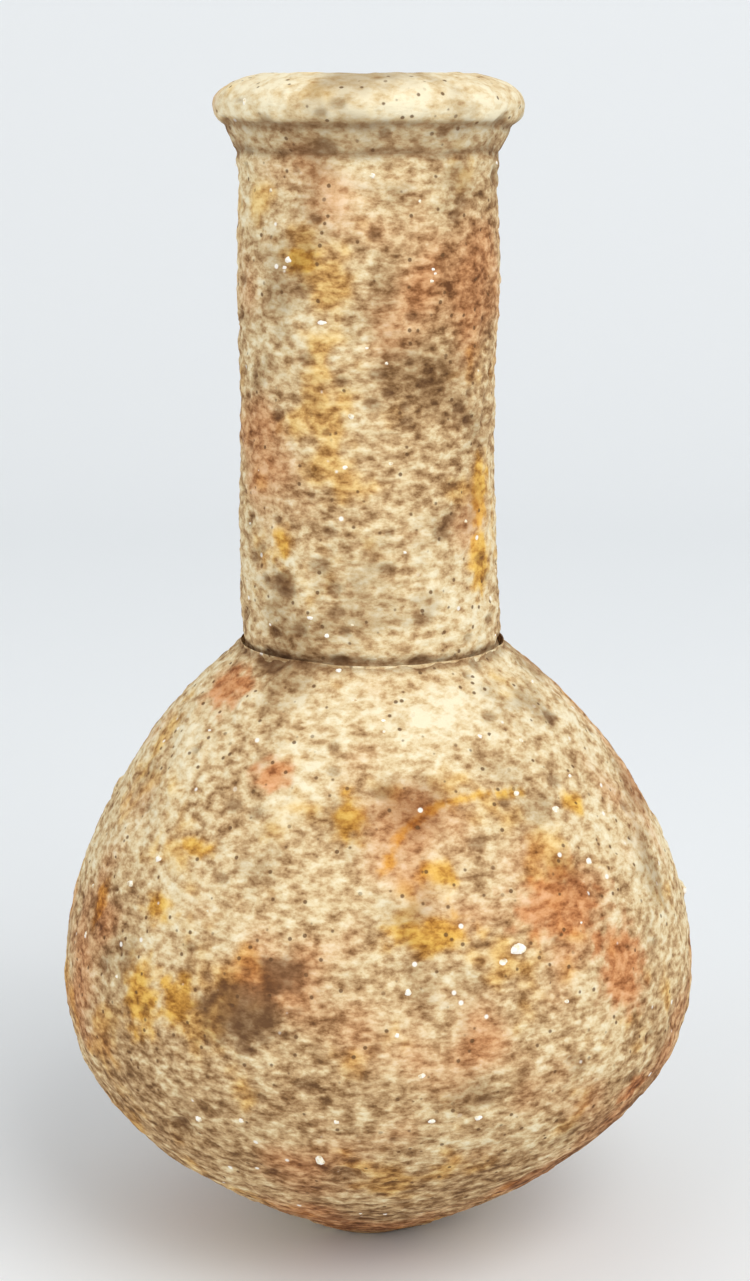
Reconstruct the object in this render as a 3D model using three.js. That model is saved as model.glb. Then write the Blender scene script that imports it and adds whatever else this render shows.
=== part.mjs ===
// A small ancient clay flask for oil or scent: a round belly drawn down to a blunt point, a tall
// cylindrical neck and a rolled lip. It has no moving piece. It is built as its maker built it, from
// clay pieces that were shaped one by one, set on each other at scored seats and fired together:
// a base pad, the lower and the upper half of the belly, the neck, the strip of clay that seals the
// neck's root, the collar under the lip, and the lip.
// Millimetres, +Z up, origin in the middle of the flat spot that the flask stands on.
import * as THREE from "three";

// The belly
const standRadius = 6.0; // of the worn flat spot under the belly
const baseFlare = 29.5; // degrees above the level, at which the wall leaves the flat spot
const baseFlareReach = 12.9; // how far the wall keeps near to that slope
const girthRadius = 33.4;
const girthHeight = 29.3;
const girthReachBelow = 14.7; // how far the upright wall at the girth lasts downwards
const girthReachAbove = 4.4; // and upwards
const shoulderSlope = 38; // degrees below the level, where the shoulder meets the neck
const shoulderReach = 23.2;
const shoulderAimRadius = 13.1; // where the shoulder's line would end, at the crease's height
const creaseAboveSeat = 2.6; // from the seat of the neck to the crease round its root
const bellyWall = 4.6;
const floorThickness = 6.5;
const basePadHeight = 9.0;
const bellyHeight = 61.7; // up to the seat that the neck stands on
const girthDrift = 1.05; // sideways, of the belly's middle from the line of its foot and its mouth

// The neck
const neckLength = 52.4;
const boreRadius = 8.8;
const neckFootRadius = 13.45;
const neckWaistRadius = 12.75;
const neckSwellRadius = 13.2;
const neckTuckRadius = 12.85; // just under the collar
const neckTopRadius = 13.2;
const neckWaistShare = 0.55; // of the neck's length, from its foot
const neckSwellShare = 0.8;
const neckTuckShare = 0.955;

// The strip of clay pressed into the corner between the shoulder and the neck
const rootStripGap = 0.25; // open joint between the strip and the neck
const rootStripEdge = 0.3; // thickness of its upper edge

// The collar and the lip
const collarHeight = 2.6;
const collarTopRadius = 14.4;
const lipHeight = 5.0;
const lipUndercutRadius = 14.5; // where the lip's underside meets the collar
const lipBulge = 1.65; // handles that swell the lip's outside
const lipBulgeRise = 1.8;
const lipShoulderDrop = 1.05;
const lipFlatOuterRadius = 10.6; // the narrow flat on top
const lipFlatInnerRadius = 9.5;
const mouthRounding = 1.2; // drop of the rounded edge from the flat into the bore

// Facets
const facetsAround = 48;
const stepsLowerBelly = 8;
const stepsUpperBelly = 10;
const stepsNeck = 12;
const stepsLip = 9;
const stepsMouth = 3;
const curveSamples = 400;

// Places that follow from the sizes
const neckTopHeight = bellyHeight + neckLength;
const lipSeatHeight = neckTopHeight + collarHeight;
const totalHeight = lipSeatHeight + lipHeight;
const creaseHeight = bellyHeight + creaseAboveSeat;
const driftStartHeight = 0.8 * basePadHeight;
const driftFullHeights = [girthHeight - 3, girthHeight + 7];
const driftEndHeight = bellyHeight + 0.45 * neckLength;

const clay = new THREE.MeshStandardMaterial({ color: 0xcfab7c, roughness: 0.95, metalness: 0 });
const clayDark = new THREE.MeshStandardMaterial({ color: 0xa07c58, roughness: 0.95, metalness: 0 });
const clayPale = new THREE.MeshStandardMaterial({ color: 0xe8d2a0, roughness: 0.95, metalness: 0 });

const radians = (degrees) => (degrees * Math.PI) / 180;
const point = (radius, height) => new THREE.Vector2(radius, height);

// The belly's outside is two curves that meet upright at the girth.
const flare = radians(baseFlare);
const slope = radians(shoulderSlope);
const lowerBelly = new THREE.CubicBezierCurve(
  point(standRadius, 0),
  point(standRadius + baseFlareReach * Math.cos(flare), baseFlareReach * Math.sin(flare)),
  point(girthRadius, girthHeight - girthReachBelow),
  point(girthRadius, girthHeight),
);
const upperBelly = new THREE.CubicBezierCurve(
  point(girthRadius, girthHeight),
  point(girthRadius, girthHeight + girthReachAbove),
  point(
    shoulderAimRadius + shoulderReach * Math.cos(slope),
    creaseHeight - shoulderReach * Math.sin(slope),
  ),
  point(shoulderAimRadius, creaseHeight),
);

// Points of a curve from height a to height b, both included, in even steps of the curve itself.
function stretch(curve, a, b, steps) {
  const first = shareAtHeight(curve, a);
  const last = shareAtHeight(curve, b);
  const points = [];
  for (let i = 0; i <= steps; i++) {
    const p = curve.getPoint(first + ((last - first) * i) / steps);
    points.push(point(p.x, p.y));
  }
  points[0].y = a;
  points[steps].y = b;
  return points;
}

// The curve's parameter at a height. The curves rise all the way.
function shareAtHeight(curve, height) {
  let low = 0;
  let high = 1;
  for (let i = 0; i < 50; i++) {
    const middle = (low + high) / 2;
    if (curve.getPoint(middle).y < height) low = middle;
    else high = middle;
  }
  return (low + high) / 2;
}

// The cavity's wall: the outside moved in by the wall's thickness, as a radius for each height.
// It never gets narrower than the bore at the top, and ends at the flat floor.
const cavityWall = [lowerBelly, upperBelly].flatMap((curve) => {
  const points = [];
  for (let i = 0; i <= curveSamples; i++) {
    const p = curve.getPoint(i / curveSamples);
    const along = curve.getTangent(i / curveSamples);
    points.push(point(p.x - along.y * bellyWall, p.y + along.x * bellyWall));
  }
  return points;
});

function cavityRadius(height) {
  let best = boreRadius;
  for (let i = 1; i < cavityWall.length; i++) {
    const a = cavityWall[i - 1];
    const b = cavityWall[i];
    if (a.y <= height && height <= b.y && b.y > a.y) {
      best = Math.max(best, a.x + ((b.x - a.x) * (height - a.y)) / (b.y - a.y));
    }
  }
  return best;
}

function cavityStretch(a, b, steps) {
  const points = [];
  for (let i = 0; i <= steps; i++) {
    const height = a + ((b - a) * i) / steps;
    points.push(point(cavityRadius(height), height));
  }
  return points;
}

// How far the flask's axis stands off to the side at a height.
function driftAt(height) {
  const { smoothstep } = THREE.MathUtils;
  const risen = smoothstep(height, driftStartHeight, driftFullHeights[0]);
  const gone = smoothstep(height, driftFullHeights[1], driftEndHeight);
  return girthDrift * (risen - gone);
}

// A turned piece of clay. The outline runs round the section, with the clay on its left.
function turned(name, outline, material) {
  const geometry = new THREE.LatheGeometry(outline, facetsAround);
  geometry.rotateX(Math.PI / 2);
  const places = geometry.attributes.position;
  for (let i = 0; i < places.count; i++) {
    places.setX(i, places.getX(i) + driftAt(places.getZ(i)));
  }
  geometry.computeVertexNormals();
  const mesh = new THREE.Mesh(geometry, material);
  mesh.name = name;
  return mesh;
}

// A ring's outline: up its outside, then back down its inside, and closed.
const ring = (outside, inside) => [...outside, ...inside.reverse(), outside[0].clone()];

function basePad() {
  const outside = stretch(lowerBelly, 0, basePadHeight, 4);
  const inside = cavityStretch(floorThickness, basePadHeight, 2);
  const outline = [point(0, 0), ...outside, ...inside.reverse(), point(0, floorThickness)];
  return turned("base_pad", outline, clayDark);
}

function bellyLower() {
  const outside = stretch(lowerBelly, basePadHeight, girthHeight, stepsLowerBelly);
  const inside = cavityStretch(basePadHeight, girthHeight, stepsLowerBelly - 1);
  return turned("belly_lower", ring(outside, inside), clay);
}

function bellyUpper() {
  const outside = stretch(upperBelly, girthHeight, bellyHeight, stepsUpperBelly);
  const inside = cavityStretch(girthHeight, bellyHeight, stepsUpperBelly - 1);
  return turned("belly_upper", ring(outside, inside), clay);
}

// The neck stands on a straight foot, and above the crease its outside passes through its waist,
// its swelling, its tuck under the collar and its top.
const neckOutside = new THREE.CatmullRomCurve3(
  [
    [neckFootRadius, creaseHeight],
    [neckWaistRadius, bellyHeight + neckLength * neckWaistShare],
    [neckSwellRadius, bellyHeight + neckLength * neckSwellShare],
    [neckTuckRadius, bellyHeight + neckLength * neckTuckShare],
    [neckTopRadius, neckTopHeight],
  ].map(([radius, height]) => new THREE.Vector3(radius, height, 0)),
  false,
  "centripetal",
);

function neckTube() {
  const above = neckOutside.getPoints(stepsNeck).map((p) => point(p.x, p.y));
  const outside = [point(neckFootRadius, bellyHeight), ...above];
  const inside = [point(boreRadius, bellyHeight), point(boreRadius, neckTopHeight)];
  return turned("neck_tube", ring(outside, inside), clay);
}

// The strip fills the corner between the shoulder's seat and the neck, up to the crease.
function neckRootStrip() {
  const innerRadius = neckFootRadius + rootStripGap;
  const seatRadius = stretch(upperBelly, bellyHeight, bellyHeight, 1)[0].x;
  const outside = [
    point(seatRadius, bellyHeight),
    point(innerRadius + rootStripEdge, creaseHeight),
  ];
  const inside = [point(innerRadius, bellyHeight), point(innerRadius, creaseHeight)];
  return turned("neck_root_strip", ring(outside, inside), clayDark);
}

function rimCollar() {
  const outside = [
    point(neckTopRadius, neckTopHeight),
    point((neckTopRadius + collarTopRadius) / 2, neckTopHeight + collarHeight / 2),
    point(collarTopRadius, lipSeatHeight),
  ];
  const inside = [point(boreRadius, neckTopHeight), point(boreRadius, lipSeatHeight)];
  return turned("rim_collar", ring(outside, inside), clayDark);
}

// The lip swells past the collar and rolls in to a narrow flat, then rounds down into the bore.
function rimLip() {
  const roll = new THREE.CubicBezierCurve(
    point(lipUndercutRadius, lipSeatHeight),
    point(lipUndercutRadius + lipBulge, lipSeatHeight + lipBulgeRise),
    point(lipUndercutRadius + lipBulge, totalHeight - lipShoulderDrop),
    point(lipFlatOuterRadius, totalHeight),
  );
  const mouth = new THREE.QuadraticBezierCurve(
    point(boreRadius, totalHeight - mouthRounding),
    point(boreRadius, totalHeight),
    point(lipFlatInnerRadius, totalHeight),
  );
  const outside = roll.getPoints(stepsLip);
  const inside = [point(boreRadius, lipSeatHeight), ...mouth.getPoints(stepsMouth)];
  return turned("rim_lip", ring(outside, inside), clayPale);
}

const flask = new THREE.Group();
flask.name = "unguentarium";
flask.add(
  basePad(),
  bellyLower(),
  bellyUpper(),
  neckRootStrip(),
  neckTube(),
  rimCollar(),
  rimLip(),
);

export default flask;
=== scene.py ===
"""Dresses a small ancient clay flask for oil or scent, and lights it in a plain studio.

The flask is coarse, low-fired earthenware. Its surface is worn, gritty and crusted with lime, its pieces of
clay meet at a crease round the neck's root and at two creases under the lip, and white grits show in it.
Metres, +Z up, origin in the middle of the spot that the flask stands on. A bearing is the angle round the
flask, 0 at its front (-Y) and 90 degrees at its right (+X).
"""
import math
from itertools import product

import bmesh
import bpy
import numpy as np
from bpy.props import FloatProperty, FloatVectorProperty, IntProperty, PointerProperty
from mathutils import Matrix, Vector


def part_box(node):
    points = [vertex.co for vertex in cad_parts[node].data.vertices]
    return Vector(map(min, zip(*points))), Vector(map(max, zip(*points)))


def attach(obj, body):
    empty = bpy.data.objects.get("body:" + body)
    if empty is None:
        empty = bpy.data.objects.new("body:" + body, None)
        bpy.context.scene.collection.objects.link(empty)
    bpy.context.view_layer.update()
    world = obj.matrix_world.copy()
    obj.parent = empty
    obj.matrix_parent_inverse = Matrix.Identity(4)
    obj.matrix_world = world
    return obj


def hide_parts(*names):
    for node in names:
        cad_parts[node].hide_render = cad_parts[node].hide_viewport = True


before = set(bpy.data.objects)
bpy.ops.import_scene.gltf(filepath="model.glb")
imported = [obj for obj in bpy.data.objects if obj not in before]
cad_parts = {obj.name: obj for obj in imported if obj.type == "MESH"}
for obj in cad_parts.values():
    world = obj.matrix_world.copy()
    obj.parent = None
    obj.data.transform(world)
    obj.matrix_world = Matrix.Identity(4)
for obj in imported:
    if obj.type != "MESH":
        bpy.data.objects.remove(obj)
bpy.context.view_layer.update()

bl_info = {
    "name": "Clay flask",
    "version": (1, 0, 0),
    "blender": (4, 5, 0),
    "location": "View3D > Sidebar > Flask",
    "description": "Builds the worn clay surface of a small flask and its studio",
    "category": "Object",
}

MM = 0.001


def top_of(node):
    """Height of a clay piece's upper seat in the frame."""
    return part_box(node)[1][2]


def linear(code):
    """An sRGB hex colour as linear red, green and blue."""
    parts = [int(code[i:i + 2], 16) / 255 for i in (1, 3, 5)]
    return tuple(c / 12.92 if c <= 0.04045 else ((c + 0.055) / 1.055) ** 2.4 for c in parts)


def length(name, description, default):
    """A size in metres that can be set in the sidebar."""
    return FloatProperty(name=name, description=description, default=default, unit="LENGTH", precision=5)


def colour(name, description, code):
    """A colour that can be set in the sidebar."""
    return FloatVectorProperty(
        name=name, description=description, default=linear(code), subtype="COLOR", size=3, min=0, max=1
    )


class FlaskShape(bpy.types.PropertyGroup):
    """Sizes of the flask's outline. The heights come from the frame."""

    pad_height: length("Base pad height", "Up to the seam with the bowl", top_of("base_pad"))
    girth_height: length("Girth height", "Where the belly is widest", top_of("belly_lower"))
    belly_height: length("Belly height", "Up to the seat of the neck", top_of("belly_upper"))
    crease_height: length("Crease height", "Crease round the neck's root", top_of("neck_root_strip"))
    neck_height: length("Neck height", "Up to the collar", top_of("neck_tube"))
    collar_height: length("Collar height", "Up to the lip", top_of("rim_collar"))
    height: length("Height", "Whole height", top_of("rim_lip"))
    stand_radius: length("Stand radius", "Worn flat spot it stands on", 6.0 * MM)
    girth_radius: length("Girth radius", "At the widest place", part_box("belly_lower")[1][1])
    girth_drift: length("Girth drift", "Sideways lean of the belly's middle", 1.05 * MM)
    base_flare: FloatProperty(
        name="Base flare", description="Slope at the stand", default=math.radians(29.5), subtype="ANGLE"
    )
    base_reach: length("Base reach", "How far the base keeps its slope", 12.9 * MM)
    girth_below: length("Girth reach below", "How far the upright wall lasts down", 14.7 * MM)
    girth_above: length("Girth reach above", "How far the upright wall lasts up", 4.4 * MM)
    shoulder_slope: FloatProperty(
        name="Shoulder slope", description="Slope at the neck", default=math.radians(37.9), subtype="ANGLE"
    )
    shoulder_reach: length("Shoulder reach", "How far the shoulder keeps its slope", 23.2 * MM)
    shoulder_aim: length("Shoulder aim", "Radius the shoulder's line aims at", 13.1 * MM)
    wall: length("Wall", "Thickness of the belly's wall", 4.6 * MM)
    floor: length("Floor", "Thickness over the stand", 6.5 * MM)
    bore: length("Bore radius", "Inside of the neck", 8.8 * MM)
    neck_foot: length("Neck foot radius", "At the neck's root", 13.45 * MM)
    neck_waist: length("Neck waist radius", "At its narrowest", 12.75 * MM)
    neck_swell: length("Neck swell radius", "At its upper swelling", 13.2 * MM)
    neck_tuck: length("Neck tuck radius", "Just under the collar", 12.85 * MM)
    neck_top: length("Neck top radius", "At the collar's seat", 13.2 * MM)
    strip_gap: length("Root strip gap", "Open joint behind the root strip", 0.25 * MM)
    strip_edge: length("Root strip edge", "Thickness of its upper edge", 0.3 * MM)
    collar_top: length("Collar top radius", "Under the lip", 14.4 * MM)
    lip_undercut: length("Lip undercut radius", "Where the lip meets the collar", 14.5 * MM)
    lip_bulge: length("Lip bulge", "Swelling of the lip", 1.65 * MM)
    lip_rise: length("Lip rise", "Rise of the lip's underside", 1.8 * MM)
    lip_drop: length("Lip drop", "Drop of the lip's shoulder", 1.05 * MM)
    lip_outer: length("Lip flat outer radius", "Narrow flat on top", 10.6 * MM)
    lip_inner: length("Lip flat inner radius", "Narrow flat on top", 9.5 * MM)
    mouth_drop: length("Mouth rounding", "Drop of the rounded edge of the mouth", 1.2 * MM)
    row_step: length("Row step", "Distance between the mesh's rows outside", 0.34 * MM)
    inner_step: length("Inner row step", "The same inside", 1.6 * MM)
    columns: IntProperty(name="Columns", description="Mesh columns round the flask", default=576, min=24)


class ClaySkin(bpy.types.PropertyGroup):
    """Relief of the worn clay, as depth and width of each kind of unevenness."""

    wobble_depth: length("Wobble depth", "Unevenness from hand turning", 0.30 * MM)
    wobble_size: length("Wobble size", "Width of that unevenness", 26 * MM)
    lump_depth: length("Lump depth", "Low lumps", 0.16 * MM)
    lump_size: length("Lump size", "Width of the lumps", 7 * MM)
    grain_depth: length("Grain depth", "Coarse grain", 0.10 * MM)
    grain_size: length("Grain size", "Width of the coarse grain", 1.5 * MM)
    drag_depth: length("Drag depth", "Level strokes of the potter's fingers", 0.14 * MM)
    drag_size: length("Drag size", "Height of those strokes", 1.1 * MM)
    crust_depth: length("Crust depth", "Thickness of the lime crust", 0.12 * MM)
    crust_size: length("Crust size", "Width of its patches", 8 * MM)
    pit_depth: length("Pit depth", "Depth of the small pits", 0.28 * MM)
    pits: IntProperty(name="Pits", description="Number of small pits", default=320, min=0)
    grits: IntProperty(name="Loose grits", description="Small grits strewn over it", default=90, min=0)


class ClayColours(bpy.types.PropertyGroup):
    """Colours of the clay and of what clings to it; the soil colour also paints shade in creases and pits."""

    pore: colour("Pore", "Shadowed pores between the grains", "#6B4B2D")
    dark: colour("Dark clay", "Bare darker clay", "#97734B")
    clay: colour("Clay", "Bare buff clay", "#C8A679")
    pale: colour("Pale clay", "Rubbed, pale grains", "#E4CDA0")
    lime: colour("Lime", "Lime crust", "#F5E9C8")
    ochre: colour("Ochre", "Tint of the yellow stains", "#FFE08E")
    rose: colour("Rose", "Tint of the pinkish zones", "#F3C3A8")
    smoke: colour("Smoke", "Tint of the grey-brown zones", "#C0B4A8")
    # The soil colour stands for soil and for painted shade in the creases and the collar band, and for painted shade
    # in the pits.
    soil_and_shade: colour("Soil", "Soil in the creases", "#6A4A30")
    grit: colour("Grit", "White limestone grits", "#FFFAF0")
    stage: colour("Stage", "Floor and backdrop", "#F1F4F6")


# Things that a close look finds on the front: what, bearing in degrees, height, half width, half height
# and depth, all in millimetres. A depth below zero stands proud.
MARKS = (
    ("pit", -38, 20, 1.7, 1.4, 0.55),
    ("pit", -5, 17, 1.5, 1.3, 0.45),
    ("pit", -15, 72, 1.0, 0.8, 0.35),
    ("soil_and_shade", -40, 72, 2.0, 1.5, 0.15),
    ("soil_and_shade", -46, 64, 2.2, 1.2, 0.2),
    ("soil_and_shade", -24, 34, 5.0, 3.5, 0.0),
    ("soil_and_shade", -17, 38, 3.0, 2.0, 0.0),
    ("soil_and_shade", 62, 58, 1.2, 1.0, 0.15),
    ("chip", 29, 8, 5.0, 1.0, 0.4),
    ("chip", -75, 2.5, 9.0, 3.0, 0.8),
    ("chip", -39, 115, 1.6, 0.9, -0.35),
    ("chip", -89, 48.5, 1.4, 1.2, -0.35),
    ("chip", 89, 37, 1.0, 0.9, -0.35),
    ("lime", 50, 21, 5.0, 1.1, -0.12),
    ("ochre", -45, 33, 3.0, 4.5, 0.0),
    ("ochre", -36, 34, 2.5, 3.0, 0.0),
    ("ochre", -45, 42, 2.5, 1.6, 0.0),
    ("ochre", -40, 48, 2.6, 1.3, 0.05),
    ("ochre", 9, 42, 5.0, 2.0, 0.0),
    ("ochre", 12, 47, 2.0, 2.0, 0.0),
    ("ochre", -6, 52, 1.8, 3.0, 0.05),
    ("ochre", -64, 40, 1.5, 2.5, 0.0),
    ("ochre", 49, 51, 1.6, 1.4, 0.0),
    ("ochre", -41, 76, 1.5, 2.0, 0.0),
    ("ochre", -30, 104, 2.5, 1.5, 0.0),
    ("ochre", 60, 81, 2.0, 4.0, 0.0),
    ("ochre", 58, 74, 2.0, 4.0, 0.0),
    ("rose", -60, 61, 4.0, 3.0, 0.0),
    ("rose", 36, 43, 6.0, 4.0, 0.0),
    ("rose", 47, 36, 4.0, 5.0, 0.0),
    ("rose", 53, 22, 3.0, 2.0, 0.0),
    ("rose", -26, 55, 2.5, 2.0, 0.0),
)
# A thin ochre line that curves over the front of the shoulder: bearing and height of its turns.
OCHRE_LINE = ((1, 47.5), (6, 51), (14, 53), (23, 53.3), (35, 53))
OCHRE_LINE_WIDTH = 0.7 * MM

# The white grits that stand out: bearing in degrees, height, width and height of the stone in millimetres.
GRITS = (
    (25, 40, 2.0, 1.3), (22, 39, 1.0, 0.7), (5, 37, 0.8, 0.8), (7, 29, 0.9, 0.7), (3, 33, 0.5, 0.5),
    (-10, 19, 1.1, 1.8), (-24, 23, 0.8, 0.7), (-33, 22, 0.9, 0.8), (-55, 43, 1.3, 0.8), (-49, 46, 1.0, 0.8),
    (-67, 36, 0.7, 0.9), (-36, 104, 0.8, 0.7), (-20, 98, 1.1, 0.6), (28, 102, 0.5, 0.5), (-7, 89, 0.7, 0.7),
    (-10, 84, 0.7, 0.5), (48, 78, 0.6, 0.5), (31, 58, 0.7, 0.6), (43, 57, 0.6, 0.5), (34, 53, 0.8, 0.7),
    (43, 51, 1.1, 0.9), (46, 46, 0.8, 0.8), (-50, 119, 0.7, 0.8), (9, 24, 0.8, 0.6), (17, 24, 0.9, 0.6),
    (-7, 24, 0.6, 0.6), (88, 37, 1.0, 0.9),
)

# Creases round the flask: height of which seat, half width, depth and the darkening in them, which is partly soil
# and partly painted shade.
CREASES = (
    ("crease_height", 0.55 * MM, 0.40 * MM, 0.9),
    ("neck_height", 0.50 * MM, 0.30 * MM, 0.9),
    ("collar_height", 0.45 * MM, 0.30 * MM, 0.8),
)


# Outlines. A line is an array of rows of radius, height, outward radius, outward height and skin, where
# the two outward values are the surface's direction and skin is how much of the wear it takes.


def bezier(points, count=400):
    """Points of a cubic curve from its four handles."""
    t = np.linspace(0, 1, count)[:, None]
    a, b, c, d = (np.array(p, float) for p in points)
    return (1 - t) ** 3 * a + 3 * (1 - t) ** 2 * t * b + 3 * (1 - t) * t ** 2 * c + t ** 3 * d


def straight(points, step=0.1 * MM):
    """Points of a line with corners."""
    points = np.array(points, float)
    parts = []
    for a, b in zip(points[:-1], points[1:]):
        count = max(2, int(np.hypot(*(b - a)) / step) + 1)
        parts.append(a + (b - a) * np.linspace(0, 1, count)[:, None])
    return np.concatenate([part[:-1] for part in parts] + [points[-1:]])


def smooth_rise(radii, heights, count=500):
    """A line that rises through the given radii without overshooting them."""
    radii, heights = np.array(radii), np.array(heights)
    slopes = np.zeros(len(radii))
    slopes[1:-1] = (radii[2:] - radii[:-2]) / (heights[2:] - heights[:-2])
    z = np.linspace(heights[0], heights[-1], count)
    i = np.clip(np.searchsorted(heights, z) - 1, 0, len(heights) - 2)
    gap = heights[i + 1] - heights[i]
    t = (z - heights[i]) / gap
    r = (
        radii[i] * (1 + 2 * t) * (1 - t) ** 2
        + slopes[i] * gap * t * (1 - t) ** 2
        + radii[i + 1] * t ** 2 * (3 - 2 * t)
        - slopes[i + 1] * gap * t ** 2 * (1 - t)
    )
    return np.stack([r, z], axis=1)


def faced(lines, skins):
    """Adds direction and skin to lines that follow each other, so that they agree where they meet."""
    whole = np.concatenate([lines[0][:1]] + [line[1:] for line in lines])
    steps = np.hypot(*np.diff(whole, axis=0).T)
    along = np.concatenate([[0], np.cumsum(steps)])
    slope = np.stack([np.gradient(whole[:, k], along) for k in (0, 1)], axis=1)
    slope /= np.hypot(slope[:, 0], slope[:, 1])[:, None]
    skin = np.interp(along, *skin_places(lines, skins, along))
    table = np.column_stack([whole, slope[:, 1], -slope[:, 0], skin])
    result, start = [], 0
    for line in lines:
        result.append(table[start:start + len(line)])
        start += len(line) - 1
    return result


def skin_places(lines, skins, along):
    """Where along the joined lines the skin takes each of its values: at their ends."""
    places, start = [0.0], 0
    for line in lines:
        start += len(line) - 1
        places.append(along[start])
    return places, skins


def cut(line, height):
    """A rising line in two, at a height."""
    row = np.array([np.interp(height, line[:, 1], line[:, k]) for k in range(line.shape[1])])
    low, high = line[line[:, 1] < height - 1e-9], line[line[:, 1] > height + 1e-9]
    return np.vstack([low, row]), np.vstack([row, high])


def in_steps(line, step):
    """The same line in rows that are an even step apart."""
    along = np.concatenate([[0], np.cumsum(np.hypot(*np.diff(line[:, :2], axis=0).T))])
    count = max(1, round(along[-1] / step))
    places = np.linspace(0, along[-1], count + 1)
    return np.stack([np.interp(places, along, line[:, k]) for k in range(line.shape[1])], axis=1)


def belly_curves(shape):
    """The belly's outside below and above the girth, as two curves that meet upright."""
    flare, slope = shape.base_flare, shape.shoulder_slope
    girth = (shape.girth_radius, shape.girth_height)
    low = bezier([
        (shape.stand_radius, 0),
        (shape.stand_radius + shape.base_reach * math.cos(flare), shape.base_reach * math.sin(flare)),
        (girth[0], girth[1] - shape.girth_below),
        girth,
    ])
    high = bezier([
        girth,
        (girth[0], girth[1] + shape.girth_above),
        (
            shape.shoulder_aim + shape.shoulder_reach * math.cos(slope),
            shape.crease_height - shape.shoulder_reach * math.sin(slope),
        ),
        (shape.shoulder_aim, shape.crease_height),
    ])
    return low, high


def cavity_line(shape, low, high):
    """The hollow's wall from the top down to the middle of its floor."""
    whole = np.concatenate([low, high[1:]])
    slope = np.gradient(whole, axis=0)
    slope /= np.hypot(slope[:, 0], slope[:, 1])[:, None]
    wall = whole + shape.wall * np.stack([-slope[:, 1], slope[:, 0]], axis=1)
    wall = wall[(wall[:, 1] > shape.floor) & (wall[:, 1] < shape.belly_height) & (wall[:, 0] > shape.bore)]
    z = np.linspace(shape.belly_height, shape.floor, 300)
    return np.stack([np.interp(z, wall[:, 1], wall[:, 0]), z], axis=1)


def flask_lines(shape):
    """Every stretch of the flask's section, faced, by the name of the clay piece and side."""
    low, high = belly_curves(shape)
    disc = straight([(0.4 * MM, 0), (shape.stand_radius, 0)])
    disc, low, high = faced([disc, low, high], [0, 0, 1, 1])
    pad, low = cut(low, shape.pad_height)
    pad[:, 4] = np.clip(pad[:, 1] / (2 * MM), 0, 1)
    low[:, 4] = 1
    high = cut(high, shape.belly_height)[0]

    hollow = cavity_line(shape, *belly_curves(shape))
    centre = straight([hollow[-1], (0.4 * MM, shape.floor)])
    hollow, centre = faced([hollow, centre], [0.5, 0.5, 0.3])
    bowl, dome = cut(hollow[::-1], shape.girth_height)
    dish, bowl = cut(bowl, shape.pad_height)

    rise = shape.neck_height - shape.belly_height
    neck = smooth_rise(
        [shape.neck_foot, shape.neck_waist, shape.neck_swell, shape.neck_tuck, shape.neck_top],
        [shape.crease_height] + [shape.belly_height + rise * share for share in (0.55, 0.8, 0.955, 1)],
    )
    foot = straight([(shape.neck_foot, shape.belly_height), (shape.neck_foot, shape.crease_height)])
    neck = np.concatenate([foot, neck[1:]])
    collar = bezier([
        (shape.neck_top, shape.neck_height),
        (shape.neck_top + 0.1 * MM, shape.neck_height + 1.0 * MM),
        (shape.collar_top - 0.5 * MM, shape.collar_height - 0.8 * MM),
        (shape.lip_undercut, shape.collar_height),
    ])
    roll = bezier([
        (shape.lip_undercut, shape.collar_height),
        (shape.lip_undercut + shape.lip_bulge, shape.collar_height + shape.lip_rise),
        (shape.lip_undercut + shape.lip_bulge, shape.height - shape.lip_drop),
        (shape.lip_outer, shape.height),
    ])
    mouth = bezier([
        (shape.lip_inner, shape.height),
        (shape.bore + 0.2 * MM, shape.height),
        (shape.bore, shape.height - 0.4 * MM),
        (shape.bore, shape.height - shape.mouth_drop),
    ])
    throat = straight([(shape.bore, shape.height - shape.mouth_drop), (shape.bore, shape.collar_height)])
    lip = np.concatenate([roll, mouth, throat[1:]])
    collar_bore = straight([(shape.bore, shape.collar_height), (shape.bore, shape.neck_height)])
    neck_bore = straight([(shape.bore, shape.neck_height), (shape.bore, shape.belly_height)])
    neck, collar, lip, collar_bore, neck_bore = faced(
        [neck, collar, lip, collar_bore, neck_bore], [1, 1, 1, 0.5, 0.5, 0.5]
    )
    strip = strip_line(shape, high[-1])
    return {
        "pad": (np.vstack([disc[:-1], pad]), np.vstack([dish[::-1], centre[1:]])),
        "bowl": (low, bowl[::-1]),
        "dome": (high, dome[::-1]),
        "strip": strip,
        "neck": (neck, neck_bore),
        "collar": (collar, collar_bore),
        "lip": (lip, None),
    }


def strip_line(shape, seat):
    """Outside and inside of the strip of clay round the neck's root. Its outside starts at the dome's seat."""
    inner = shape.neck_foot + shape.strip_gap
    outer = inner + shape.strip_edge
    low, top = shape.belly_height, shape.crease_height
    outside = bezier([
        (seat[0], low),
        (seat[0] - 1.1 * MM, low + 0.9 * MM),
        (outer + 0.2 * MM, top - 0.7 * MM),
        (outer, top),
    ])
    edge = straight([(outer, top), (inner, top)])
    inside = straight([(inner, top), (inner, low)])
    outside, edge, inside = faced([outside, edge, inside], [1, 1, 0.5, 0])
    outside[0] = seat
    return np.vstack([outside, edge[1:]]), inside


def drift_at(shape, heights):
    """How far the flask's axis stands off to the right at each height."""
    def ease(a, b):
        t = np.clip((heights - a) / (b - a), 0, 1)
        return t * t * (3 - 2 * t)

    start = 0.8 * shape.pad_height
    end = shape.belly_height + 0.45 * (shape.neck_height - shape.belly_height)
    risen = ease(start, shape.girth_height - 3 * MM)
    return shape.girth_drift * (risen - ease(shape.girth_height + 7 * MM, end))


# Wear, stains and painted shade. Everything is worked out from the place on the surface, so that neighbouring pieces
# agree.


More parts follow.
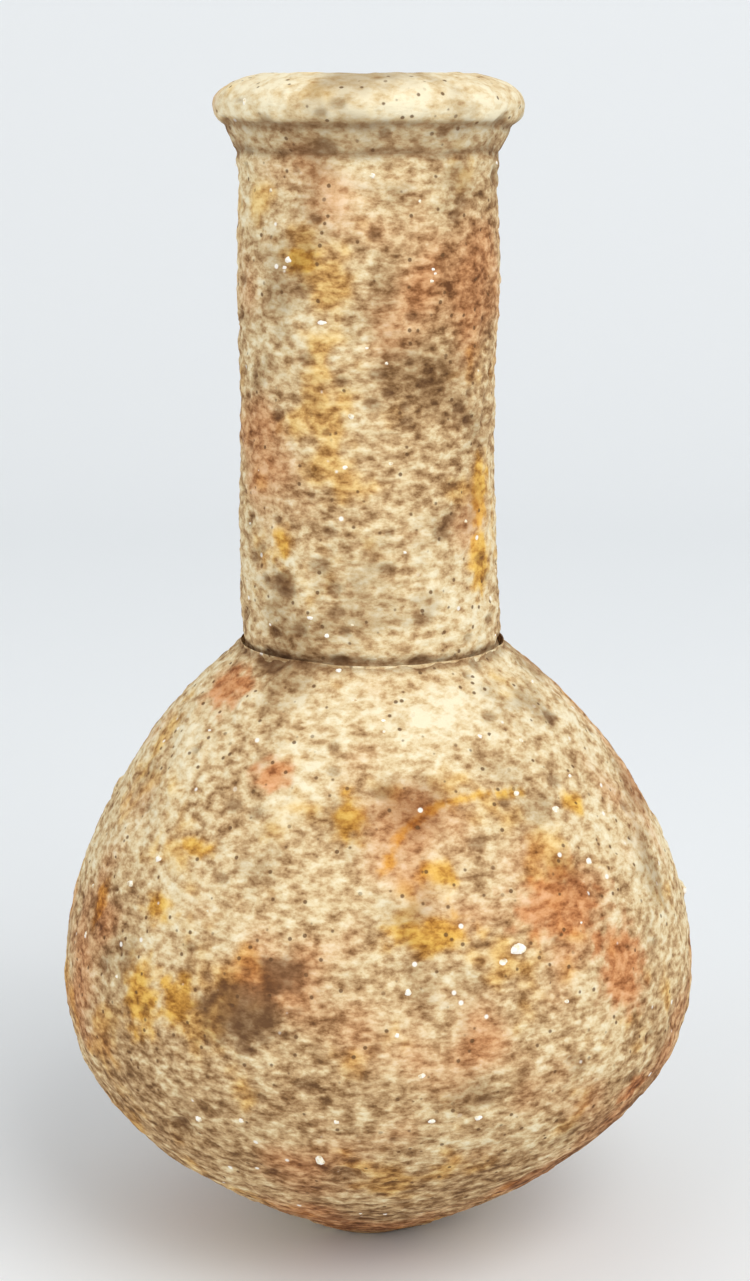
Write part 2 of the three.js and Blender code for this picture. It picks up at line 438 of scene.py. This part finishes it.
def noise(places, size, seed):
    """Smooth unevenness from about -1 to 1, in lumps of the given size."""
    spot = places / size + seed * 17.31
    cell = np.floor(spot).astype(np.int64)
    part = spot - cell
    ease = part ** 3 * (part * (part * 6 - 15) + 10)
    total = np.zeros(len(places))
    for corner in product((0, 1), repeat=3):
        corner = np.array(corner)
        key = (cell + corner) * np.array([73856093, 19349663, 83492791])
        mixed = key[:, 0] ^ key[:, 1] ^ key[:, 2]
        mixed = (mixed ^ (mixed >> 13)) * 1274126177 & 0x7FFFFFFF
        mixed ^= mixed >> 15
        slope = np.stack([(mixed >> shift & 255) / 127.5 - 1 for shift in (0, 8, 16)], axis=1)
        weight = np.prod(np.where(corner, ease, 1 - ease), axis=1)
        total += weight * np.sum(slope * (part - corner), axis=1)
    return total * 1.5


def layered(places, size, seed, layers):
    """Noise with finer and finer noise on it."""
    return sum(noise(places, size / 2 ** k, seed + k) * 0.55 ** k for k in range(layers))


def step_up(values, low, high):
    """0 below low, 1 above high, and a smooth rise between."""
    t = np.clip((values - low) / (high - low), 0, 1)
    return t * t * (3 - 2 * t)


def wear_and_shade(shape, skin, rows, columns):
    """Relief in metres and the stains and painted shade of a grid of places, as arrays of rows by columns."""
    bearing = np.tile(columns, (len(rows), 1))
    radius, height, _, _, amount = (np.repeat(rows[:, k:k + 1], len(columns), axis=1) for k in range(5))
    across = radius * np.sin(bearing)
    places = np.stack([across, -radius * np.cos(bearing), height], axis=-1).reshape(-1, 3)
    form = radius.shape

    def lumps(size, seed, layers=1, stretch=(1, 1, 1)):
        return layered(places / np.array(stretch), size, seed, layers).reshape(form)

    on_neck = step_up(height, shape.crease_height, shape.crease_height + 4 * MM)
    below_collar = 1 - step_up(height, shape.neck_height - 3 * MM, shape.neck_height + 1 * MM)
    crust = step_up(lumps(skin.crust_size, 5, 4), 0.05, 0.3)
    relief = skin.wobble_depth * lumps(skin.wobble_size, 1)
    relief += skin.lump_depth * lumps(skin.lump_size, 2, 3)
    relief += skin.grain_depth * lumps(skin.grain_size, 3, 3, (1.25, 1.25, 0.9))
    relief += skin.drag_depth * (0.35 + 0.65 * on_neck * below_collar) * lumps(skin.drag_size, 4, 2, (3.2, 3.2, 1))
    relief += skin.crust_depth * crust

    outer = (amount > 0.9).astype(float)
    stains_and_shade = {kind: np.zeros(form) for kind in ("soil_and_shade", "ochre", "rose", "lime")}
    stains_and_shade["lime"] += crust * outer
    for crease, half_width, depth, soil_and_shade in CREASES:
        middle = getattr(shape, crease) + 0.4 * MM * noise(places * [1, 1, 0.2], 6 * MM, 11).reshape(form)
        near = np.exp(-((height - middle) / half_width) ** 2) * outer
        strength = 0.75 + 0.5 * lumps(5 * MM, 12)
        relief -= depth * near * strength
        # Darkens each crease: partly soil, partly painted shade in the groove.
        stains_and_shade["soil_and_shade"] += soil_and_shade * near * strength
    # Darkens the band between the collar's creases: partly soil, partly painted shade under the lip.
    in_collar = step_up(height, shape.neck_height - 0.6 * MM, shape.neck_height + 0.4 * MM)
    in_collar *= 1 - step_up(height, shape.collar_height - 0.2 * MM, shape.collar_height + 0.9 * MM)
    stains_and_shade["soil_and_shade"] += 0.45 * in_collar * outer * (0.9 + 0.6 * lumps(3 * MM, 13, 2))

    add_marks(shape, places.reshape(*form, 3), bearing, radius, height, outer, relief, stains_and_shade)
    add_pits(shape, skin, bearing, radius, height, outer, relief, stains_and_shade)
    return relief * amount, stains_and_shade


def distance_from(shape, bearing, radius, height, mark_bearing, mark_height):
    """How far places lie across and up from a place on the flask, along its surface."""
    low, high = belly_curves(shape)
    line = np.concatenate([low, high[1:]])
    if mark_height < shape.belly_height:
        mark_radius = np.interp(mark_height, line[:, 1], line[:, 0])
    else:
        mark_radius = shape.neck_waist
    turn = (bearing - mark_bearing + math.pi) % (2 * math.pi) - math.pi
    across = turn * (radius + mark_radius) / 2
    rise = height - mark_height
    up = np.sign(rise) * np.hypot(rise, (radius - mark_radius) * (mark_height < shape.belly_height))
    return across, up


def add_marks(shape, places, bearing, radius, height, outer, relief, stains_and_shade):
    """The marks that a close look finds: pits, chips and stains, with ragged edges; the pits are darkened with
    painted shade.
    """
    ragged = layered(places.reshape(-1, 3), 1.4 * MM, 21, 2).reshape(height.shape)
    for kind, mark_bearing, mark_height, half_width, half_height, depth in MARKS:
        across, up = distance_from(
            shape, bearing, radius, height, math.radians(mark_bearing), mark_height * MM
        )
        away = np.hypot(across / (half_width * MM), up / (half_height * MM))
        near = step_up(1.25 - away + 0.45 * ragged, 0, 0.8) * outer
        relief -= depth * MM * near
        # A pit is darkened with painted shade; a chip is not darkened.
        if kind in ("pit", "chip"):
            stains_and_shade["soil_and_shade"] += 0.5 * near * (kind == "pit")
        else:
            stains_and_shade[kind] += near
    for (b1, h1), (b2, h2) in zip(OCHRE_LINE[:-1], OCHRE_LINE[1:]):
        for share in np.linspace(0, 1, 7):
            across, up = distance_from(
                shape, bearing, radius, height,
                math.radians(b1 + (b2 - b1) * share), (h1 + (h2 - h1) * share) * MM,
            )
            away = np.hypot(across, up) / OCHRE_LINE_WIDTH
            near = step_up(1.2 - away + 0.6 * ragged, 0, 1) * outer
            stains_and_shade["ochre"] = np.maximum(stains_and_shade["ochre"], near)


def add_pits(shape, skin, bearing, radius, height, outer, relief, stains_and_shade):
    """Small pits where grains fell out, strewn evenly over the outside, each darkened with painted shade."""
    strewn = np.random.default_rng(7)
    for _ in range(skin.pits):
        mark_bearing = strewn.uniform(-math.pi, math.pi)
        mark_height = strewn.uniform(2 * MM, shape.height)
        half_width = strewn.uniform(0.3, 0.8) * MM
        depth = skin.pit_depth * strewn.uniform(0.4, 1)
        rows = np.abs(height[:, 0] - mark_height) < 2 * half_width
        if not rows.any():
            continue
        near_bearing, near_radius, near_height = bearing[rows], radius[rows], height[rows]
        across, up = distance_from(
            shape, near_bearing, near_radius, near_height, mark_bearing, mark_height
        )
        away = np.hypot(across / 1.4, up) / half_width
        near = step_up(1.4 - away, 0, 0.9) * outer[rows]
        relief[rows] -= depth * near
        # Painted shade in the pit.
        stains_and_shade["soil_and_shade"][rows] += 0.6 * near


# Meshes


def clay_piece(name, node, material, line, settings):
    """One clay piece as a closed mesh: its outside, its seats and its inside, with the wear, stains and painted
    shade on them.
    """
    shape, skin = settings
    outside, inside = line
    rows = in_steps(outside, shape.row_step)
    seats = [0, len(rows) - 1]
    if inside is not None:
        inside = in_steps(inside, shape.inner_step)
        seats += [len(rows), len(rows) + len(inside) - 1]
        rows = np.vstack([rows, inside])
    on_axis = rows[0, 0] < 1 * MM
    if on_axis:
        seats = seats[1:3]
    columns = np.linspace(-math.pi, math.pi, shape.columns, endpoint=False)
    relief, stains_and_shade = wear_and_shade(shape, skin, rows, columns)
    radius = rows[:, 0:1] + relief * rows[:, 2:3]
    height = rows[:, 1:2] + relief * rows[:, 3:4]
    height = np.maximum(height, 0)
    across = radius * np.sin(columns) + drift_at(shape, rows[:, 1:2])
    places = np.stack([across, -radius * np.cos(columns), height], axis=-1).reshape(-1, 3)

    mesh = bpy.data.meshes.new(name)
    faces, corners = grid_faces(rows, shape.columns, closed=not on_axis)
    stained_and_shaded = {kind: np.clip(stain, 0, 1).ravel() for kind, stain in stains_and_shade.items()}
    if on_axis:
        places, stained_and_shaded = close_axis(rows, places, stained_and_shaded, faces, corners, shape.columns)
    mesh.from_pydata(places.tolist(), [], faces)
    mesh.update(calc_edges=True)
    mesh.polygons.foreach_set("use_smooth", [True] * len(mesh.polygons))
    bake_map = mesh.uv_layers.new(name="OFBake")
    bake_map.data.foreach_set("uv", np.array(corners, np.float32).ravel())
    for kind, stain in stained_and_shaded.items():
        mesh.attributes.new(kind, "FLOAT", "POINT").data.foreach_set("value", stain.astype(np.float32))
    sharpen_seats(mesh, seats, shape.columns)
    mesh.materials.append(material)
    piece = bpy.data.objects.new(name, mesh)
    bpy.context.scene.collection.objects.link(piece)
    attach(piece, "root")
    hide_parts(node)
    return piece


def grid_faces(rows, columns, closed):
    """Faces of a grid that goes round the flask, and their corners on the flattened surface."""
    gaps = np.hypot(*np.diff(np.vstack([rows[:, :2], rows[:1, :2]]), axis=0).T)
    along = np.concatenate([[0], np.cumsum(gaps)]) / gaps.sum()
    count = len(rows)
    faces, corners = [], []
    for i in range(count if closed else count - 1):
        here, above = i * columns, ((i + 1) % count) * columns
        low, high = along[i], along[i + 1]
        for j in range(columns):
            after = (j + 1) % columns
            faces.append((here + j, here + after, above + after, above + j))
            left, right = j / columns, (j + 1) / columns
            corners += ((left, low), (right, low), (right, high), (left, high))
    return faces, corners


def close_axis(rows, places, stained_and_shaded, faces, corners, columns):
    """Closes a piece's first and last row with a point on the axis."""
    last = (len(rows) - 1) * columns
    bottom, top = len(places), len(places) + 1
    first_row, last_row = places[:columns], places[last:last + columns]
    places = np.vstack([places, first_row.mean(axis=0), last_row.mean(axis=0)])
    stained_and_shaded = {kind: np.append(stain, [stain[0], stain[last]]) for kind, stain in stained_and_shaded.items()}
    edge = 0.002
    for j in range(columns):
        after = (j + 1) % columns
        faces.append((bottom, after, j))
        faces.append((top, last + j, last + after))
        left, right = j / columns, (j + 1) / columns
        corners += ((left, -edge), (right, 0), (left, 0))
        corners += ((left, 1), (left, 1 - edge), (right, 1 - edge))
    return places, stained_and_shaded


def sharpen_seats(mesh, seats, columns):
    """Keeps the shading of the outside apart from that of the seats."""
    ends = np.empty(len(mesh.edges) * 2, np.int32)
    mesh.edges.foreach_get("vertices", ends)
    ends = ends.reshape(-1, 2) // columns
    sharp = (ends[:, 0] == ends[:, 1]) & np.isin(ends[:, 0], seats)
    mesh.attributes.new("sharp_edge", "BOOLEAN", "EDGE").data.foreach_set("value", sharp)


def strewn_stones(shape, skin):
    """Bearing, height, width and height of each white grit: the ones that stand out, then small ones."""
    stones = [(math.radians(b), h * MM, w * MM, u * MM) for b, h, w, u in GRITS]
    strewn = np.random.default_rng(19)
    for _ in range(skin.grits):
        size = strewn.uniform(0.35, 0.75) * MM
        place = strewn.uniform(5 * MM, shape.neck_height)
        stones.append((strewn.uniform(-math.pi, math.pi), place, size, size * strewn.uniform(0.6, 1)))
    return stones


def grit_mesh(shape, skin):
    """White limestone grits, half sunk in the clay, as one mesh of closed lumps."""
    lump = bmesh.new()
    bmesh.ops.create_icosphere(lump, subdivisions=2, radius=1)
    ball = np.array([v.co for v in lump.verts])
    ball_faces = np.array([[v.index for v in f.verts] for f in lump.faces])
    lump.free()
    lines = flask_lines(shape)
    outside = np.vstack([lines[k][0] for k in ("bowl", "dome", "strip", "neck")])
    outside = np.vstack([lines["pad"][0][lines["pad"][0][:, 1] > 1 * MM], outside])
    lip = lines["lip"][0]
    outside = np.vstack([outside, lip[:np.argmax(lip[:, 1] > shape.height - 1 * MM)]])
    outside = outside[np.argsort(outside[:, 1])]
    places, faces = [], []
    for k, (bearing, height, width, tall) in enumerate(strewn_stones(shape, skin)):
        row = np.array([np.interp(height, outside[:, 1], outside[:, c]) for c in range(5)])
        relief = wear_and_shade(shape, skin, row[None], np.array([bearing]))[0][0, 0]
        radial = np.array([math.sin(bearing), -math.cos(bearing), 0])
        level = np.array([math.cos(bearing), math.sin(bearing), 0])
        out = radial * row[2] + np.array([0, 0, row[3]])
        up = np.cross(out, level)
        up /= np.linalg.norm(up)
        thick = 0.45 * min(width, tall)
        centre = radial * row[0] + np.array([drift_at(shape, row[1]), 0, row[1]]) + out * (relief - 0.55 * thick)
        uneven = 1 + 0.35 * noise(ball + k * 3.7, 0.8, 31)[:, None]
        stone = ball * uneven
        across = stone[:, :1] * level * width / 2
        places.append(centre + across + stone[:, 1:2] * up * tall / 2 + stone[:, 2:] * out * thick)
        faces.append(ball_faces + k * len(ball))
    mesh = bpy.data.meshes.new("lime_grits")
    mesh.from_pydata(np.vstack(places).tolist(), [], np.vstack(faces).tolist())
    mesh.update(calc_edges=True)
    return mesh


# Materials


def add_node(tree, kind, settings=None, inputs=None, stops=None):
    """Adds a node, with its settings, its inputs as values or links, and a ramp's stops."""
    new = tree.nodes.new(kind)
    for key, value in (settings or {}).items():
        setattr(new, key, value)
    for key, value in (inputs or {}).items():
        if isinstance(value, bpy.types.NodeSocket):
            tree.links.new(value, new.inputs[key])
        else:
            new.inputs[key].default_value = value
    if stops:
        ramp = new.color_ramp
        while len(ramp.elements) < len(stops):
            ramp.elements.new(0.5)
        for element, (place, value) in zip(ramp.elements, stops):
            element.position = place
            element.color = (*value, 1)
    return new


def new_material(name):
    """An empty material: its node tree, its shader and the place on the object in metres."""
    material = bpy.data.materials.new(name)
    material.use_nodes = True
    tree = material.node_tree
    tree.nodes.clear()
    shader = add_node(tree, "ShaderNodeBsdfPrincipled")
    add_node(tree, "ShaderNodeOutputMaterial", inputs={"Surface": shader.outputs["BSDF"]})
    place = add_node(tree, "ShaderNodeTexCoord").outputs["Object"]
    return material, tree, shader, place


def earthenware(name, colours, shape, lime=0.0, soil_and_shade=0.0, contrast=1.0):
    """Coarse low-fired earthenware, turned by hand, long buried and then brushed clean.

    The eye gets pale, ragged grains with brown pores between them, drawn out a little along the potter's
    strokes, whole zones that are pinker, yellower or greyer, a dull surface with no gloss, and no two
    places alike. It is lighter on the shoulder and lip and darker towards the bottom, partly as painted
    light and shade and partly as pale deposit. The lime and soil arguments shift the whole piece towards
    crust, or towards soil and shade.
    """
    material, tree, shader, place = new_material(name)

    def add(kind, settings=None, inputs=None, stops=None):
        return add_node(tree, kind, settings, inputs, stops)

    def maths(operation, a, b):
        return add("ShaderNodeMath", {"operation": operation}, {0: a, 1: b}).outputs[0]

    def grain(size, detail, rough, stretch=(1, 1, 1), shift=0.0):
        scaled = add("ShaderNodeMapping", None, {"Vector": place, "Scale": stretch, "Location": (shift,) * 3})
        return add(
            "ShaderNodeTexNoise", None,
            {"Vector": scaled.outputs[0], "Scale": 1 / size, "Detail": detail, "Roughness": rough},
        ).outputs[0]

    def blend(kind, amount, below, above):
        return add(
            "ShaderNodeMix", {"data_type": "RGBA", "blend_type": kind}, {0: amount, 6: below, 7: above}
        ).outputs[2]

    def stain(kind):
        return add("ShaderNodeAttribute", {"attribute_name": kind}).outputs["Fac"]

    def part_of(value, low, high, most):
        return add(
            "ShaderNodeMapRange", {"interpolation_type": "SMOOTHSTEP"},
            {0: value, 1: low, 2: high, 3: 0.0, 4: most},
        ).outputs[0]

    # Grains of 0.4 to 1.2 mm, with finer ones on them, a little wider than tall.
    grains = grain(1.15 * MM, 5, 0.62, (0.8, 0.8, 1.35))
    patches = grain(9 * MM, 3, 0.6, shift=3.1)
    zones = grain(30 * MM, 1, 0.5, shift=7.7)
    height = add("ShaderNodeSeparateXYZ", None, {0: place}).outputs[2]
    share = maths("DIVIDE", height, shape.height)
    # Lighter on the shoulder and the lip, which face up, and darker towards the bottom: partly painted light from
    # above and painted shade below, partly the pale deposit on the upper surfaces.
    grey = [(at, (value,) * 3) for at, value in (
        (0.0, 0.40), (0.12, 0.42), (0.26, 0.47), (0.40, 0.53), (0.50, 0.56), (0.53, 0.50), (0.75, 0.50),
        (0.93, 0.51), (0.965, 0.60), (1.0, 0.64),
    )]
    lit_and_deposit_by_height = add("ShaderNodeValToRGB", None, {0: share}, grey).outputs[0]
    value = maths("MULTIPLY_ADD", maths("SUBTRACT", grains, 0.5), contrast)
    tree.nodes[-1].inputs[2].default_value = 0.0
    value = maths("ADD", value, maths("MULTIPLY", maths("SUBTRACT", patches, 0.5), 0.32))
    value = maths("ADD", value, maths("MULTIPLY", maths("SUBTRACT", zones, 0.5), 0.22))
    value = maths("ADD", value, lit_and_deposit_by_height)
    value = maths("ADD", value, maths("MULTIPLY", stain("lime"), 0.045))
    # Darker over the creases, the collar band and the pits: soil and painted shade.
    value = maths("SUBTRACT", value, maths("MULTIPLY", stain("soil_and_shade"), 0.10))
    value = maths("ADD", value, lime - soil_and_shade)
    base = add("ShaderNodeValToRGB", None, {0: value}, [
        (0.26, colours.pore), (0.36, colours.dark), (0.48, colours.clay), (0.58, colours.pale),
        (0.72, colours.lime),
    ]).outputs[0]

    rosy = part_of(grain(17 * MM, 2, 0.6, shift=12.3), 0.48, 0.68, 0.75)
    yellow = part_of(grain(11 * MM, 3, 0.65, shift=21.9), 0.55, 0.68, 0.65)
    smoky = part_of(grain(13 * MM, 3, 0.6, shift=33.3), 0.52, 0.70, 0.8)
    base = blend("MULTIPLY", maths("MAXIMUM", rosy, stain("rose")), base, (*colours.rose, 1))
    base = blend("MULTIPLY", maths("MAXIMUM", yellow, stain("ochre")), base, (*colours.ochre, 1))
    base = blend("MULTIPLY", smoky, base, (*colours.smoke, 1))

    # Pores 0.2 to 0.3 mm wide, in about a third of the cells of a net of 1.1 mm.
    pores = add("ShaderNodeTexVoronoi", None, {"Vector": place, "Scale": 1 / (1.1 * MM)})
    chosen = part_of(pores.outputs["Color"], 0.60, 0.70, 0.85)
    pore = maths("MULTIPLY", chosen, part_of(pores.outputs["Distance"], 0.24, 0.12, 1.0))
    base = blend("MIX", pore, base, (*colours.pore, 1))
    # White flecks 0.2 to 0.4 mm wide, one in every few cells of a net of 2.4 mm.
    flecks = add("ShaderNodeTexVoronoi", None, {"Vector": place, "Scale": 1 / (2.4 * MM)})
    chosen = part_of(flecks.outputs["Color"], 0.66, 0.72, 0.9)
    fleck = maths("MULTIPLY", chosen, part_of(flecks.outputs["Distance"], 0.13, 0.07, 1.0))
    base = blend("MIX", fleck, base, (*colours.grit, 1))
    # Soil colour over the creases, the collar band and the pits: soil and painted shade.
    base = blend("MIX", maths("MULTIPLY", stain("soil_and_shade"), 0.65), base, (*colours.soil_and_shade, 1))

    fine = grain(0.45 * MM, 3, 0.6, (0.85, 0.85, 1.2), shift=5.5)
    bump = add("ShaderNodeBump", None, {"Height": fine, "Strength": 0.55, "Distance": 0.10 * MM})
    bump = add(
        "ShaderNodeBump", None,
        {"Height": grains, "Strength": 0.75, "Distance": 0.30 * MM, "Normal": bump.outputs[0]},
    )
    hollow = add(
        "ShaderNodeBump", None,
        {"Height": maths("MULTIPLY", pore, -1.0), "Strength": 0.7, "Distance": 0.12 * MM, "Normal": bump.outputs[0]},
    )
    tree.links.new(base, shader.inputs["Base Color"])
    tree.links.new(hollow.outputs[0], shader.inputs["Normal"])
    shader.inputs["Roughness"].default_value = 0.93
    shader.inputs["Specular IOR Level"].default_value = 0.22
    shader.inputs["IOR"].default_value = 1.5
    return material


def limestone(colours):
    """Crushed limestone grit, broken by hand: near white, dull, with a little clay rubbed into it."""
    material, tree, shader, place = new_material("limestone_grit_crushed")
    # Rubbed-in clay in patches of 0.5 mm.
    rubbed = add_node(tree, "ShaderNodeTexNoise", None, {"Vector": place, "Scale": 1 / (0.5 * MM), "Detail": 3})
    tone = add_node(
        tree, "ShaderNodeValToRGB", None, {0: rubbed.outputs[0]},
        [(0.30, colours.clay), (0.42, colours.lime), (0.55, colours.grit)],
    )
    bump = add_node(
        tree, "ShaderNodeBump", None,
        {"Height": rubbed.outputs[0], "Strength": 0.5, "Distance": 0.08 * MM},
    )
    tree.links.new(tone.outputs[0], shader.inputs["Base Color"])
    tree.links.new(bump.outputs[0], shader.inputs["Normal"])
    shader.inputs["Roughness"].default_value = 0.8
    shader.inputs["IOR"].default_value = 1.57
    return material


def studio_paper(colours):
    """Smooth matte background paper: pale and even, with no texture that the camera could see."""
    material, tree, shader, _ = new_material("background_paper_matte")
    shader.inputs["Base Color"].default_value = (*colours.stage, 1)
    shader.inputs["Roughness"].default_value = 0.95
    shader.inputs["Specular IOR Level"].default_value = 0.1
    return material


# Operators


def settings_of(context):
    """The flask's shape, skin and colours as they stand in the sidebar."""
    scene = context.scene
    return scene.flask_shape, scene.flask_skin, scene.flask_colours


def make_piece(context, name, node, slot, part, material_name, **look):
    """Builds one clay piece from the stretch of the section that it takes."""
    shape, skin, colours = settings_of(context)
    material = earthenware(material_name, colours, shape, **look)
    return clay_piece(name, node, material, flask_lines(shape)[part], (shape, skin))


class FLASK_OT_base_pad(bpy.types.Operator):
    """Makes the scraped and worn underside that the flask stands on"""

    bl_idname = "flask.base_pad"
    bl_label = "Base pad"

    def execute(self, context):
        make_piece(
            context, "base_pad_clay", "base_pad", "scraped_clay", "pad", "earthenware_scraped"
        )
        return {"FINISHED"}


class FLASK_OT_belly(bpy.types.Operator):
    """Makes the bowl and the dome of the belly, which meet at the girth"""

    bl_idname = "flask.belly"
    bl_label = "Belly"

    def execute(self, context):
        make_piece(context, "belly_bowl_clay", "belly_lower", "tan_clay", "bowl", "earthenware_turned_tan")
        make_piece(context, "belly_dome_clay", "belly_upper", "buff_clay", "dome", "earthenware_turned_buff")
        return {"FINISHED"}


class FLASK_OT_root_strip(bpy.types.Operator):
    """Makes the strip of clay pressed into the corner round the neck's root"""

    bl_idname = "flask.root_strip"
    bl_label = "Neck root strip"

    def execute(self, context):
        make_piece(
            context, "neck_root_clay", "neck_root_strip", "crease_clay", "strip", "earthenware_pressed_strip"
        )
        return {"FINISHED"}


class FLASK_OT_neck(bpy.types.Operator):
    """Makes the neck, with level strokes outside and its bore"""

    bl_idname = "flask.neck"
    bl_label = "Neck"

    def execute(self, context):
        make_piece(context, "neck_clay", "neck_tube", "gritty_clay", "neck", "earthenware_turned_gritty")
        return {"FINISHED"}


class FLASK_OT_collar(bpy.types.Operator):
    """Makes the band between the two creases under the lip, darkened partly by soil and partly by painted shade"""

    bl_idname = "flask.collar"
    bl_label = "Collar"

    def execute(self, context):
        make_piece(
            context, "collar_clay", "rim_collar", "collar_clay", "collar", "earthenware_soiled_and_shaded_collar"
        )
        return {"FINISHED"}


class FLASK_OT_lip(bpy.types.Operator):
    """Makes the thick lip, rolled outward and smoothed by hand, pale partly from painted light from above and partly
    from pale deposit
    """

    bl_idname = "flask.lip"
    bl_label = "Lip"

    def execute(self, context):
        make_piece(
            context, "lip_clay", "rim_lip", "lip_clay", "lip", "earthenware_rolled_lip", contrast=0.8
        )
        return {"FINISHED"}


class FLASK_OT_grits(bpy.types.Operator):
    """Sets the white limestone grits into the surface"""

    bl_idname = "flask.grits"
    bl_label = "Grits"

    def execute(self, context):
        shape, skin, colours = settings_of(context)
        mesh = grit_mesh(shape, skin)
        mesh.materials.append(limestone(colours))
        piece = bpy.data.objects.new("lime_grits", mesh)
        context.scene.collection.objects.link(piece)
        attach(piece, "root")
        return {"FINISHED"}


class FLASK_OT_stage(bpy.types.Operator):
    """Makes the pale floor and backdrop, the soft lights and the camera"""

    bl_idname = "flask.stage"
    bl_label = "Stage"

    def execute(self, context):
        colours = context.scene.flask_colours
        paper = make_sweep(context, studio_paper(colours))
        make_lights(context)
        make_camera(context)
        context.scene.view_settings.view_transform = "Standard"
        return {"FINISHED"}


def make_sweep(context, material):
    """One sheet of paper: level floor, wide bend and upright backdrop."""
    half_width, front, back, bend, top = 2.5, -1.6, 0.45, 0.35, 2.2
    line = [(front, 0), (back, 0)]
    line += [
        (back + bend * math.sin(a), bend - bend * math.cos(a)) for a in np.linspace(0, math.pi / 2, 25)[1:]
    ]
    line.append((back + bend, top))
    places = [(side * half_width, y, z) for y, z in line for side in (-1, 1)]
    faces = [(2 * i, 2 * i + 1, 2 * i + 3, 2 * i + 2) for i in range(len(line) - 1)]
    mesh = bpy.data.meshes.new("studio_paper")
    mesh.from_pydata(places, [], faces)
    mesh.polygons.foreach_set("use_smooth", [True] * len(faces))
    mesh.materials.append(material)
    paper = bpy.data.objects.new("studio_paper", mesh)
    context.scene.collection.objects.link(paper)
    return paper


def make_lights(context):
    """A large soft lamp above and to the right, a weaker one at the left, and even light all round."""
    for name, place, size, watts in (
        ("key_light", (0.55, -0.75, 0.95), 0.8, 9.0),
        ("fill_light", (-0.9, -0.8, 0.5), 0.9, 3.5),
    ):
        lamp = bpy.data.lights.new(name, "AREA")
        lamp.size = size
        lamp.energy = watts
        light = bpy.data.objects.new(name, lamp)
        light.location = place
        aim = Vector((0, 0, 0.06)) - light.location
        light.rotation_euler = aim.to_track_quat("-Z", "Y").to_euler()
        context.scene.collection.objects.link(light)
    world = bpy.data.worlds.new("studio_air")
    world.use_nodes = True
    sky = world.node_tree.nodes["Background"]
    sky.inputs["Color"].default_value = (1, 1, 1, 1)
    sky.inputs["Strength"].default_value = 0.55
    context.scene.world = world


def make_camera(context):
    """The camera stands level with the flask's lip and looks down at it."""
    lens = bpy.data.cameras.new("camera")
    lens.sensor_fit = "VERTICAL"
    lens.sensor_height = 36
    lens.lens = 69.1
    lens.clip_start = 0.01
    camera = bpy.data.objects.new("camera", lens)
    camera.location = (0.7 * MM, -251.5 * MM, 117.65 * MM)
    camera.rotation_euler = (math.radians(90 - 12.05), 0, 0)
    context.scene.collection.objects.link(camera)
    context.scene.camera = camera


class FLASK_PT_panel(bpy.types.Panel):
    """The flask's sizes, colours and steps in the sidebar"""

    bl_idname = "FLASK_PT_panel"
    bl_label = "Clay flask"
    bl_space_type = "VIEW_3D"
    bl_region_type = "UI"
    bl_category = "Flask"

    def draw(self, context):
        layout = self.layout
        for title, group in zip(("Shape", "Skin", "Colours"), settings_of(context)):
            box = layout.box()
            box.label(text=title)
            for key in group.bl_rna.properties.keys():
                if key not in ("rna_type", "name"):
                    box.prop(group, key)
        for step in STEPS:
            layout.operator(step.bl_idname)


STEPS = (
    FLASK_OT_base_pad,
    FLASK_OT_belly,
    FLASK_OT_root_strip,
    FLASK_OT_neck,
    FLASK_OT_collar,
    FLASK_OT_lip,
    FLASK_OT_grits,
    FLASK_OT_stage,
)
GROUPS = (FlaskShape, ClaySkin, ClayColours)


def register():
    for item in (*GROUPS, *STEPS, FLASK_PT_panel):
        bpy.utils.register_class(item)
    bpy.types.Scene.flask_shape = PointerProperty(type=FlaskShape)
    bpy.types.Scene.flask_skin = PointerProperty(type=ClaySkin)
    bpy.types.Scene.flask_colours = PointerProperty(type=ClayColours)


def unregister():
    del bpy.types.Scene.flask_colours, bpy.types.Scene.flask_skin, bpy.types.Scene.flask_shape
    for item in reversed((*GROUPS, *STEPS, FLASK_PT_panel)):
        bpy.utils.unregister_class(item)


def main():
    register()
    for step in STEPS:
        group, name = step.bl_idname.split(".")
        getattr(getattr(bpy.ops, group), name)()


if __name__ == "__main__":
    main()
